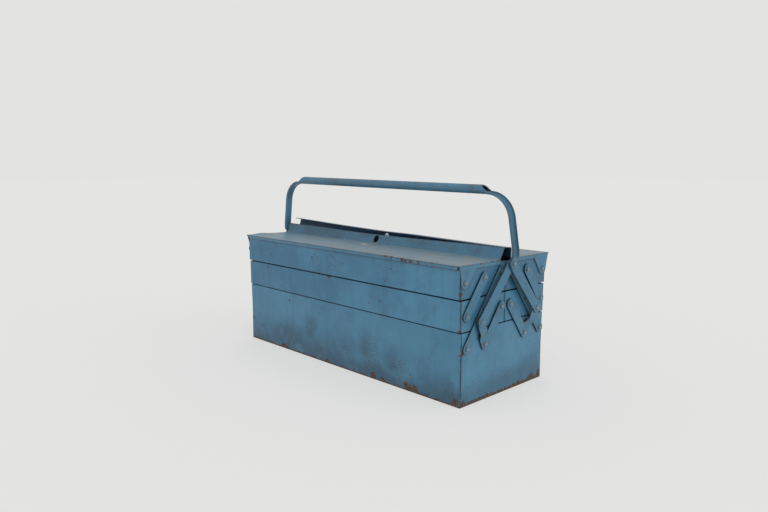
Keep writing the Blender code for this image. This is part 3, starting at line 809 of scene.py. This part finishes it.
def drill(piece, place, turned_about, radius, depth, sides):
    """Cut a round hole, whose upright cylinder is first turned by 90 degrees about an axis."""
    cutter = bmesh.new()
    turn = Matrix.Translation(place) @ Matrix.Rotation(math.pi / 2, 4, turned_about)
    bmesh.ops.create_cone(cutter, cap_ends=True, segments=sides, radius1=radius, radius2=radius,
                          depth=depth, matrix=turn)
    tool = add_object("cutter", mesh_of("cutter", cutter))
    modifier = piece.modifiers.new("Hole", "BOOLEAN")
    modifier.operation = "DIFFERENCE"
    modifier.solver = "EXACT"
    modifier.object = tool
    bpy.context.view_layer.update()
    graph = bpy.context.evaluated_depsgraph_get()
    result = bpy.data.meshes.new_from_object(piece.evaluated_get(graph))
    piece.modifiers.clear()
    piece.data = result
    result.shade_smooth()
    result.set_sharp_from_angle(angle=math.radians(40.0))
    bpy.data.objects.remove(tool, do_unlink=True)


# ------------------------ linkage

BAR_HALF_WIDTH = 8.0 * MM
ROUND_STEPS = 14
BAR_EDGE = 0.45 * MM


def bar_outline(start, finish):
    """Outline of a bar with round ends between two points, in Y and Z."""
    heading = math.atan2(finish.z - start.z, finish.y - start.y)
    outline = []
    for centre, first in ((start, heading + math.pi / 2), (finish, heading - math.pi / 2)):
        for step in range(ROUND_STEPS + 1):
            angle = first + math.pi * step / ROUND_STEPS
            outline.append((centre.y + BAR_HALF_WIDTH * math.cos(angle),
                            centre.z + BAR_HALF_WIDTH * math.sin(angle)))
    return outline


def plate(outline, x_low, x_high):
    return loft([[(x, y, z) for y, z in outline] for x in (x_low, x_high)])


def make_bar(node, body, start, finish, material):
    """Flat bar with its edges rounded, where its CAD node lies."""
    low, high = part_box(node)
    shape = plate(bar_outline(start, finish), low.x, high.x)
    piece = make_piece(node + "_bar", shape, (material,), body, (node,))
    soften(piece, BAR_EDGE)
    return piece


# ------------------------ rivets

RIVET_SIDES = 28
HEAD_RADIUS = 4.5 * MM
HEAD_HEIGHT = 1.6 * MM
HEAD_STEPS = 6
GROOVE_RADIUS = 3.1 * MM
CLEARANCE = 0.3 * MM
TAIL_RADIUS = 4.2 * MM
SHANK_RADIUS = 2.5 * MM
TAIL_HEIGHT = 1.2 * MM


def circle(centre, x, radius):
    """Points around a rivet's axis at a place along X."""
    return [(x, centre.y + radius * math.cos(2 * math.pi * i / RIVET_SIDES),
             centre.z + radius * math.sin(2 * math.pi * i / RIVET_SIDES))
            for i in range(RIVET_SIDES)]


def head_profile():
    """Rivet head from its rim to its crown, as (share of the height, radius) pairs."""
    profile = [(0.0, HEAD_RADIUS), (0.28, HEAD_RADIUS), (0.38, 0.95 * HEAD_RADIUS),
               (0.38, GROOVE_RADIUS + 0.5 * MM), (0.10, GROOVE_RADIUS)]
    for step in range(1, HEAD_STEPS + 1):
        angle = math.pi / 2 * step / HEAD_STEPS
        profile.append((0.30 + 0.70 * math.sin(angle),
                        GROOVE_RADIUS * max(math.cos(angle), 0.08)))
    return profile


def rivet_shape(node, end):
    """Domed head on the outside, shank, and a hammered tail on the inside."""
    low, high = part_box(node)
    centre = (low + high) / 2
    near, far = inner_and_outer(node, end)
    seat = far - end * HEAD_HEIGHT
    profile = [(near, 0.55 * TAIL_RADIUS), (near + end * 0.35 * MM, 0.9 * TAIL_RADIUS),
               (near + end * 0.7 * MM, TAIL_RADIUS), (near + end * TAIL_HEIGHT, TAIL_RADIUS),
               (near + end * TAIL_HEIGHT, SHANK_RADIUS), (seat, SHANK_RADIUS)]
    profile += [(seat + end * HEAD_HEIGHT * rise, radius) for rise, radius in head_profile()]
    return loft([circle(centre, x, radius) for x, radius in profile])


CRANK_LEAN = math.radians(25.2)
CRANK_REACH = 42.0 * MM
CRANK_RAMP = (12.0 * MM, 24.0 * MM)
CRANK_WEB = 24.0 * MM
CRANK_STATIONS = 9
BAR_THICKNESS = 2.0 * MM
LOBE_TAIL = 0.7 * MM


def crank_web_reach(angle, bar_angle, lobe_angle):
    """Reach of the web between the two branches, with a rounded notch halfway."""
    middle = (bar_angle + lobe_angle) / 2
    span = (lobe_angle - bar_angle) / 2
    return CRANK_WEB * (1.0 - 0.3 * math.cos((angle - middle) / span * math.pi / 2))


def inner_and_outer(node, end):
    """X of a node's face towards the box and of its face away from it."""
    low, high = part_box(node)
    return (low.x, high.x) if end == RIGHT else (high.x, low.x)


def make_crank(side_name, end_name, base, tray, material):
    """Y-shaped plate whose upper branch is joggled outwards to meet the closing arm."""
    side = SIDES[side_name]
    end = ENDS[end_name]
    node = side_name + "_" + end_name + "_crank_plate"
    inner, outer = inner_and_outer(node, end)
    face = inner + end * BAR_THICKNESS
    lobe_face = outer - end * BAR_THICKNESS

    bar_angle = math.atan2(tray.z - base.z, tray.y - base.y)
    lobe_angle = math.pi / 2 - side * CRANK_LEAN
    flat = plate(bar_outline(base, tray), inner, face)
    web = [(base.y, base.z)]
    for step in range(13):
        angle = bar_angle + (lobe_angle - bar_angle) * step / 12
        reach = crank_web_reach(angle, bar_angle, lobe_angle)
        web.append((base.y + reach * math.cos(angle), base.z + reach * math.sin(angle)))
    filled = plate(web, inner + end * 0.05 * MM, face - end * 0.05 * MM)

    along = Vector((math.cos(lobe_angle), math.sin(lobe_angle)))
    across = Vector((along[1], -along[0]))
    half = BAR_HALF_WIDTH - 0.1 * MM
    sections = [(0.0, 0.0)]
    for step in range(CRANK_STATIONS + 1):
        share = step / CRANK_STATIONS
        sections.append((CRANK_RAMP[0] + (CRANK_RAMP[1] - CRANK_RAMP[0]) * share, smooth(share)))
    rings = []
    for reach, lift in sections + [(CRANK_REACH, 1.0)]:
        x = inner + lift * (lobe_face - inner) + end * 0.1 * MM
        rings.append(crank_section(base, along, across, reach, half, x, end))
    for step in range(1, ROUND_STEPS // 2 + 1):
        angle = math.pi / 2 * step / (ROUND_STEPS // 2)
        width = max(half * math.cos(angle), 0.4 * MM)
        x = lobe_face + end * 0.1 * MM
        rings.append(crank_section(base, along, across, CRANK_REACH + half * math.sin(angle),
                                   width, x, end))
    lobe = loft(rings)
    tip = Vector((0.0, base.y + CRANK_REACH * along[0], base.z + CRANK_REACH * along[1]))
    tail = loft([circle(tip, lobe_face - end * LOBE_TAIL, TAIL_RADIUS),
                 circle(tip, lobe_face + end * 0.3 * MM, TAIL_RADIUS)])
    shape = joined([flat, filled, lobe, tail])
    piece = make_piece(node + "_steel", shape, (material,), side_name + "_cranks", (node,))
    soften(piece, BAR_EDGE)
    return piece


def crank_section(base, along, across, reach, half, x, end):
    """Rectangle across the joggled branch at one reach from the pivot."""
    ring = []
    for sign, depth in ((-1, 0.0), (1, 0.0), (1, 1.0), (-1, 1.0)):
        point = reach * along + sign * half * across
        ring.append((x + end * depth * (BAR_THICKNESS - 0.2 * MM), base.y + point[0],
                     base.z + point[1]))
    return ring


def make_closing_arm(side_name, end_name, top, foot, paint_material, steel):
    """Flat arm from the handle's pivot to the crank, with the domed head of its own rivet."""
    end = ENDS[end_name]
    node = side_name + "_" + end_name + "_closing_arm"
    inner, outer = inner_and_outer(node, end)
    face = inner + end * BAR_THICKNESS
    body = side_name + "_closing_arms"
    shape = plate(bar_outline(top, foot), inner, face)
    piece = make_piece(node + "_bar", shape, (paint_material,), body, (node,))
    soften(piece, BAR_EDGE)
    rings = [circle(foot, face - end * 0.4 * MM, HEAD_RADIUS)]
    for rise, radius in head_profile():
        rings.append(circle(foot, face + end * abs(outer - face) * rise, radius))
    make_piece(node + "_rivet_head", loft(rings), (steel,), body, (node,))
    return piece


# ------------------------ carrying handle

STRIP = 1.4 * MM
EYE_RADIUS = 8.0 * MM
EYE_HOLE_RADIUS = 2.9 * MM
CHANNEL_START = 12.0 * MM
LEAN_START = 20.0 * MM
CHANNEL_HALF_WIDTH = 6.1 * MM
CHANNEL_CORNER = 2.0 * MM
CHANNEL_DEPTH = 4.2 * MM
LEG_LEAN = math.radians(8.5)
LEG_LENGTH = 49.0 * MM
BEND_RADIUS = 40.0 * MM
BEND_STEPS = 28
GRIP_RADIUS = 6.4 * MM
GRIP_WRAP = math.radians(170.0)
HALF_WRAP = math.radians(95.0)
GRIP_SHOULDER = 5.0 * MM
GRIP_TAPER = 13.0 * MM
HANDLE_TILT = 0.0095
TILT_HEIGHTS = (6.0 * MM, 50.0 * MM)
TAPER_STATIONS = 8
GRIP_STATIONS = 24
SECTION_HALF_STEPS = 16
HANDLE_EDGE = 0.35 * MM


def channel_point(t):
    """Point of the leg section's middle line, from -1 at one edge to 1 at the other."""
    web = CHANNEL_HALF_WIDTH - CHANNEL_CORNER
    bend = CHANNEL_CORNER * math.pi / 2
    distance = abs(t) * (web + bend + CHANNEL_DEPTH - CHANNEL_CORNER)
    if distance < web:
        y, rise = distance, 0.0
    elif distance < web + bend:
        angle = (distance - web) / CHANNEL_CORNER
        y = web + CHANNEL_CORNER * math.sin(angle)
        rise = CHANNEL_CORNER * (1.0 - math.cos(angle))
    else:
        y = CHANNEL_HALF_WIDTH
        rise = CHANNEL_CORNER + distance - web - bend
    return Vector((math.copysign(y, t), rise))


def handle_section(width, curl):
    """Middle line of the strip: flat at curl 0, channel at 1, half a tube at 2, rolled at 3."""
    points = []
    wrap = HALF_WRAP + (GRIP_WRAP - HALF_WRAP) * max(curl - 2.0, 0.0)
    for step in range(-SECTION_HALF_STEPS, SECTION_HALF_STEPS + 1):
        t = step / SECTION_HALF_STEPS
        flat = Vector((width * t, 0.0))
        channel = channel_point(t)
        tube = Vector((GRIP_RADIUS * math.sin(wrap * t), GRIP_RADIUS * (1.0 - math.cos(wrap * t))))
        if curl <= 1.0:
            points.append(flat.lerp(channel, curl))
        else:
            points.append(channel.lerp(tube, min(curl - 1.0, 1.0)))
    return points


def handle_stations(eye_face, pivot_height):
    """Stations of the right half, eye to mid-grip: X, Z, lean, half width and curl."""
    x = eye_face + STRIP / 2
    stations = []
    for step in range(13):
        angle = math.radians(-80.0 + 130.0 * step / 12)
        stations.append((x, pivot_height + EYE_RADIUS * math.sin(angle), 0.0,
                         EYE_RADIUS * math.cos(angle), 0.0))
    rise = EYE_RADIUS * math.sin(math.radians(50.0))
    width = EYE_RADIUS * math.cos(math.radians(50.0))
    for step in range(1, 7):
        share = step / 6
        stations.append((x, pivot_height + rise + (CHANNEL_START - rise) * share, 0.0,
                         width + (CHANNEL_HALF_WIDTH - width) * smooth(share), smooth(share)))
    for step in range(1, 5):
        share = step / 4
        stations.append((x, pivot_height + CHANNEL_START + (LEAN_START - CHANNEL_START) * share,
                         LEG_LEAN * share / 2, CHANNEL_HALF_WIDTH, 1.0))
    x -= LEG_LENGTH * math.sin(LEG_LEAN)
    z = pivot_height + LEAN_START + LEG_LENGTH * math.cos(LEG_LEAN)
    stations.append((x, z, LEG_LEAN, CHANNEL_HALF_WIDTH, 1.0))
    centre = (x - BEND_RADIUS * math.cos(LEG_LEAN), z - BEND_RADIUS * math.sin(LEG_LEAN))
    for step in range(1, BEND_STEPS + 1):
        lean = LEG_LEAN + (math.pi / 2 - LEG_LEAN) * step / BEND_STEPS
        stations.append((centre[0] + BEND_RADIUS * math.cos(lean),
                         centre[1] + BEND_RADIUS * math.sin(lean), lean,
                         CHANNEL_HALF_WIDTH, 1.0))
    grip = (centre[0], centre[1] + BEND_RADIUS)
    for step in range(1, TAPER_STATIONS + 1):
        share = 2.0 * step / TAPER_STATIONS
        if share <= 1.0:
            reach, curl = GRIP_SHOULDER * share, 1.0 + smooth(share)
        else:
            reach, curl = GRIP_SHOULDER + (GRIP_TAPER - GRIP_SHOULDER) * (share - 1.0), 1.0 + share
        stations.append((grip[0] - reach, grip[1], math.pi / 2, CHANNEL_HALF_WIDTH, curl))
    return stations


def handle_ring(station, end):
    """Closed outline of the strip at one station, on the right or the left half."""
    x, z, lean, width, curl = station
    middle = handle_section(width, curl)
    outward = Vector((math.cos(lean), math.sin(lean)))
    skins = []
    for sign in (1, -1):
        skin = []
        for i, point in enumerate(middle):
            along = (middle[min(i + 1, len(middle) - 1)] - middle[max(i - 1, 0)]).normalized()
            normal = Vector((-along[1], along[0]))
            y, rise = point + sign * STRIP / 2 * normal
            skin.append((end * (x + rise * outward[0]), y, z + rise * outward[1]))
        skins.append(skin)
    return skins[0] + skins[1][::-1]


def tilted(point, pivot_height):
    """Lean the handle a little towards the left above its eyes, as years of use have left it."""
    x, y, z = point
    start, finish = TILT_HEIGHTS
    share = smooth(min(max((z - pivot_height - start) / (finish - start), 0.0), 1.0))
    return (x - HANDLE_TILT * share * (z - pivot_height), y, z - HANDLE_TILT * share * x)


def make_handle(material, grip_inside_shade):
    """Carrying handle of one strip: pierced eyes, channel legs and a rolled grip."""
    pivot = joint_point("handle_fold")
    rivet_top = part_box("right_handle_rivet")[1].x
    half = handle_stations(rivet_top - HEAD_HEIGHT - CLEARANCE - STRIP, pivot.z)
    rings = [handle_ring(station, RIGHT) for station in half]
    reach = half[-1][0]
    for step in range(1, GRIP_STATIONS):
        x = reach - 2.0 * reach * step / GRIP_STATIONS
        rings.append(handle_ring((x,) + half[-1][1:], RIGHT))
    rings += [handle_ring(station, LEFT) for station in reversed(half)]
    rings = [[tilted(point, pivot.z) for point in ring] for ring in rings]
    shape = loft(rings)
    shape.faces.ensure_lookup_table()
    # The inside of the rolled grip takes the second slot: near-black painted shade inside the tube
    first = len(half) - TAPER_STATIONS
    for band in range(first, len(rings) - 1 - first):
        for i in range(2 * SECTION_HALF_STEPS):
            shape.faces[2 + band * len(rings[0]) + i].material_index = 1
    piece = make_piece("carry_handle_strip", shape, (material, grip_inside_shade), "handle",
                       ("carry_handle",))
    drill(piece, pivot, "Y", EYE_HOLE_RADIUS, 2.2 * rivet_top, 24)
    soften(piece, HANDLE_EDGE, 50.0)
    return piece


# ------------------------ assembly

BASE_CORNER = 101.3 * MM
MIDDLE_CORNER = 103.2 * MM
TOP_CORNER = 104.8 * MM
LID_EDGE_REACH = 3.0 * MM
LID_LINE_FOOT = 199.5 * MM

BLUE = (0.044, 0.180, 0.300)
BLUE_FADED = (0.058, 0.205, 0.325)
RIDGE_BLUE = (0.032, 0.118, 0.195)
SHADED_BLUE = (0.002, 0.050, 0.140)
HANDLE_BLUE = (0.050, 0.150, 0.240)
TRAY_BLUE = (0.032, 0.148, 0.262)
TRAY_FADED = (0.058, 0.215, 0.350)

BASE_MARKS = (
    (-0.160, -0.101, 0.004, 0.008), (-0.152, -0.101, 0.003, 0.006), (-0.030, -0.101, 0.003, 0.006),
    (0.085, -0.101, 0.006, 0.007), (0.108, -0.101, 0.004, 0.006), (0.160, -0.101, 0.009, 0.007),
    (0.166, -0.101, 0.004, 0.008), (0.178, -0.101, 0.006, 0.008), (0.256, -0.101, 0.007, 0.007),
    (-0.265, -0.101, 0.056, 0.005), (-0.264, -0.101, 0.042, 0.006), (-0.139, -0.102, 0.095, 0.0025),
    (-0.053, -0.102, 0.084, 0.0018), (0.265, -0.099, 0.079, 0.005), (0.265, 0.100, 0.004, 0.014),
    (0.265, 0.075, 0.003, 0.011), (0.265, 0.040, 0.002, 0.007), (0.265, -0.060, 0.002, 0.006),
    (0.265, -0.095, 0.004, 0.007), (-0.120, 0.101, 0.004, 0.008), (0.190, 0.101, 0.006, 0.007),
    (-0.265, 0.040, 0.004, 0.008),
)
BASE_SHADOWS = (
    (-0.235, -0.101, 0.022, 0.038), (-0.150, -0.101, 0.030, 0.034), (-0.075, -0.101, 0.046, 0.026),
    (0.020, -0.101, 0.036, 0.036), (0.070, -0.101, 0.044, 0.030), (0.130, -0.101, 0.030, 0.034),
    (0.200, -0.101, 0.018, 0.036), (0.265, 0.075, 0.014, 0.030), (0.265, -0.060, 0.014, 0.024),
)
BASE_SCUFFS = (
    (0.265, -0.060, 0.045, 0.030), (0.265, 0.000, 0.050, 0.035), (0.265, 0.070, 0.045, 0.035),
    (0.265, -0.085, 0.020, 0.024), (0.265, 0.040, 0.020, 0.034), (0.265, 0.088, 0.018, 0.034),
    (0.265, -0.030, 0.020, 0.030),
    (0.080, -0.101, 0.035, 0.030), (0.150, -0.101, 0.020, 0.030), (0.245, -0.101, 0.015, 0.022),
    (-0.140, -0.101, 0.025, 0.024), (0.020, -0.101, 0.020, 0.024),
)
MIDDLE_MARKS = (
    (-0.023, -0.103, 0.154, 0.005), (0.103, -0.103, 0.130, 0.0024), (0.076, -0.103, 0.124, 0.002),
    (-0.204, -0.103, 0.148, 0.0024), (0.264, -0.103, 0.111, 0.004), (0.264, -0.103, 0.155, 0.003),
    (-0.200, 0.103, 0.150, 0.005),
)
TOP_MARKS = (
    (-0.066, -0.105, 0.182, 0.0024), (-0.190, -0.105, 0.174, 0.0018), (0.130, -0.106, 0.186, 0.0022),
    (0.265, -0.104, 0.164, 0.004), (0.040, 0.105, 0.176, 0.004),
)
TOP_SCUFFS = (
    (0.105, -0.105, 0.183, 0.012), (0.128, -0.105, 0.181, 0.012), (0.140, -0.105, 0.177, 0.010),
    (0.115, -0.105, 0.172, 0.011), (-0.012, -0.105, 0.183, 0.014), (0.010, -0.105, 0.180, 0.011),
    (-0.015, -0.105, 0.171, 0.010), (-0.055, -0.105, 0.185, 0.009),
)
LID_MARKS = (
    (0.121, -0.109, 0.205, 0.003), (0.134, -0.109, 0.204, 0.0025), (0.157, -0.109, 0.202, 0.004),
    (0.164, -0.109, 0.201, 0.0035), (0.173, -0.109, 0.201, 0.004), (0.190, -0.110, 0.202, 0.003),
    (0.266, -0.063, 0.204, 0.0022), (0.266, -0.035, 0.204, 0.0026), (0.266, -0.022, 0.204, 0.003),
    (-0.266, 0.050, 0.203, 0.006),
)
LID_SCUFFS = (
    (0.165, -0.110, 0.201, 0.022), (0.125, -0.110, 0.204, 0.014), (0.215, -0.110, 0.202, 0.014),
    (-0.120, -0.010, 0.214, 0.030), (0.020, -0.008, 0.216, 0.024),
)
LID_SHADOWS = ((0.254, 0.004, 0.212, 0.034), (-0.254, 0.004, 0.212, 0.020))
LID_CREAM = ((-0.013, -0.033, 0.204, 0.0050), (-0.006, -0.034, 0.204, 0.0042))


def build_looks():
    base_paint = paint("old_blue_paint_base", BLUE, BLUE_FADED, BASE_MARKS, BASE_SCUFFS,
                       shadows=BASE_SHADOWS, corner=BASE_CORNER, grime_top=0.062, rust_foot=True)
    # The trays' faces that look along X are darker by painted shade, the paint is paler towards +X
    # by painted light, and the top tray's wider corner line adds painted shade of the gap beside the
    # lid's flange
    middle_paint = paint("old_blue_paint_middle", TRAY_BLUE, TRAY_FADED, MIDDLE_MARKS,
                         corner=MIDDLE_CORNER, painted_light_along_x=0.8, painted_end_shade=0.25)
    top_paint = paint("old_blue_paint_top", TRAY_BLUE, TRAY_FADED, TOP_MARKS, TOP_SCUFFS,
                      corner=TOP_CORNER, painted_light_along_x=0.8, painted_end_shade=0.60, corner_width=1.9 * MM)
    lid_paint = paint("old_blue_paint_lids", BLUE, BLUE_FADED, LID_MARKS, LID_SCUFFS,
                      edge_wear=0.74, roughness=0.44, dust_and_sheen=0.58, worn_line=0.80, cream=LID_CREAM,
                      edge_reach=LID_EDGE_REACH, patina=0.34, line_foot=LID_LINE_FOOT)
    # The lids' inner skin: a much darker blue, unfaded paint and painted shade, with painted shadow
    # at the ridges' ends
    shaded_paint = paint("shaded_blue_paint_lids", SHADED_BLUE, shade_of(SHADED_BLUE, 1.3),
                         shadows=LID_SHADOWS, roughness=0.55, gap=shade_of(SHADED_BLUE, 0.7))
    ridge_paint = paint("old_blue_paint_ridges", RIDGE_BLUE, shade_of(RIDGE_BLUE, 1.45), (),
                        LID_SCUFFS, edge_wear=0.66, dust_and_sheen=0.25, worn_line=0.80, painted_light_along_x=0.8,
                        patina=0.40, edge_reach=LID_EDGE_REACH)
    bar_paint = paint("old_blue_paint_bars", shade_of(BLUE, 0.88), shade_of(BLUE_FADED, 0.88),
                      edge_wear=0.60, streaks=0.3, pale_edges=0.12, worn_line=0.85,
                      dark_sides=True, patina=0.30)
    handle_paint = paint("old_blue_paint_handle", HANDLE_BLUE, shade_of(HANDLE_BLUE, 1.25),
                         edge_wear=0.66, streaks=0.4, pale_edges=0.20, worn_line=0.60,
                         patina=0.55)
    # Near-black inside the rolled grip: painted shade
    grip_inside_shade = paint("shaded_paint_in_grip", shade_of(HANDLE_BLUE, 0.12),
                        shade_of(HANDLE_BLUE, 0.20), roughness=0.60)
    inside_paint = paint("old_blue_paint_inside", BLUE, BLUE_FADED, edge_wear=0.4, dust_and_sheen=0.3)
    steel = rivet_paint("worn_rivet_paint")

    make_pan("base_box", "base", base_paint, inside_paint, 0.0)
    for seed, side_name in enumerate(SIDES):
        for row, tray_paint, first in (("middle", middle_paint, 3.0), ("top", top_paint, 6.0)):
            tray = side_name + "_" + row + "_tray"
            make_pan(tray, tray, tray_paint, inside_paint, first + seed)
        make_lid(side_name, (lid_paint, shaded_paint, ridge_paint, shaded_paint))
        make_linkage(side_name, bar_paint, steel)
    make_handle(handle_paint, grip_inside_shade)

    for node, part in frame["nodes"].items():
        if node.endswith("_rivet"):
            shape = rivet_shape(node, RIGHT if "right_" in node else LEFT)
            make_piece(node + "_head", shape, (steel,), body_of(part)[0], (node,))


def make_linkage(side_name, bar_paint, steel):
    """The bars, cranks and closing arms at both ends of one half."""
    arm_base = joint_point("trays_open" if side_name == "front" else "back_arms_swing")
    arm_top = joint_point(side_name + "_top_tray_level")
    arm_middle = joint_point(side_name + "_middle_tray_level")
    step = arm_top - arm_middle
    link = joint_point(side_name + "_tray_links_swing")
    crank = joint_point(side_name + "_cranks_swing")
    hub = joint_point(side_name + "_closing_arms_spread")
    lobe_angle = math.pi / 2 - SIDES[side_name] * CRANK_LEAN
    foot = crank + CRANK_REACH * Vector((0.0, math.cos(lobe_angle), math.sin(lobe_angle)))
    for end_name in ENDS:
        stem = side_name + "_" + end_name
        make_bar(stem + "_long_arm", side_name + "_arms", arm_base, arm_top, bar_paint)
        make_bar(stem + "_tray_link", side_name + "_tray_links", link, link + step, bar_paint)
        make_crank(side_name, end_name, crank, crank + step, bar_paint)
        make_closing_arm(side_name, end_name, hub, foot, bar_paint, steel)


build_looks()
add_camera()
add_stage()
bpy.context.view_layer.update()
